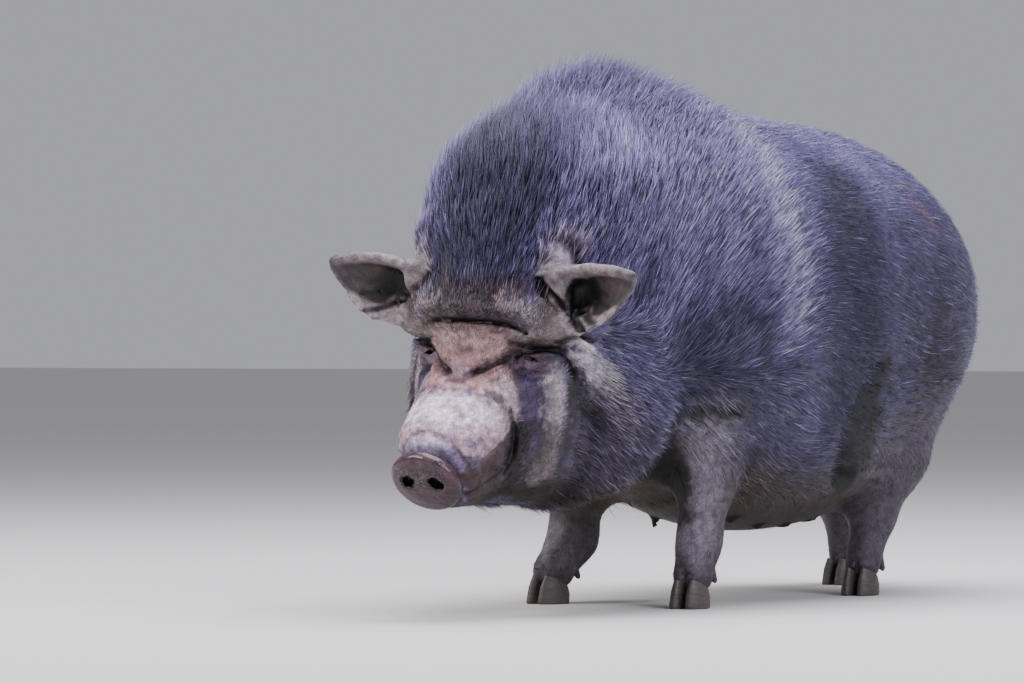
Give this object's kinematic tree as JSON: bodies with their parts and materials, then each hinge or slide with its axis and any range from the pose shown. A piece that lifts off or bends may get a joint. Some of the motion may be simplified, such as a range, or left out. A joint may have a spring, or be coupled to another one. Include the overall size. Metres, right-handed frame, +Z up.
{
  "type": "pot-bellied pig",
  "caption": "Life-size still model of a black Vietnamese pot-bellied sow, walking with her head low, bristles raised along her neck.",
  "frame": {"origin": "on the floor, under the centre of the part's bounding box", "axes": "-Y towards the snout, +X to the sow's own left side, +Z up"},
  "size_m": [0.4325, 1.0652, 0.5938],
  "materials": {
    "hide": "dark hide under black bristles, greyer and barer on the face and legs",
    "snout": "moist, bare, purplish brown",
    "eye": "wet and glossy, dark brown",
    "hoof": "worn dark horn"
  },
  "bodies": {
    "root": {"head": "hide", "neck": "hide", "trunk": "hide", "tail": "hide", "ear_left": "hide", "ear_right": "hide", "foreleg_left": "hide", "foreleg_right": "hide", "hindleg_left": "hide", "hindleg_right": "hide", "snout_disc": "snout", "eye_left": "eye", "eye_right": "eye", "hoof_foreleg_left_outer": "hoof", "hoof_foreleg_left_inner": "hoof", "hoof_foreleg_right_outer": "hoof", "hoof_foreleg_right_inner": "hoof", "hoof_hindleg_left_outer": "hoof", "hoof_hindleg_left_inner": "hoof", "hoof_hindleg_right_outer": "hoof", "hoof_hindleg_right_inner": "hoof", "dewclaw_foreleg_left_outer": "hoof", "dewclaw_foreleg_left_inner": "hoof", "dewclaw_foreleg_right_outer": "hoof", "dewclaw_foreleg_right_inner": "hoof", "dewclaw_hindleg_left_outer": "hoof", "dewclaw_hindleg_left_inner": "hoof", "dewclaw_hindleg_right_outer": "hoof", "dewclaw_hindleg_right_inner": "hoof"}
  },
  "joints": []
}
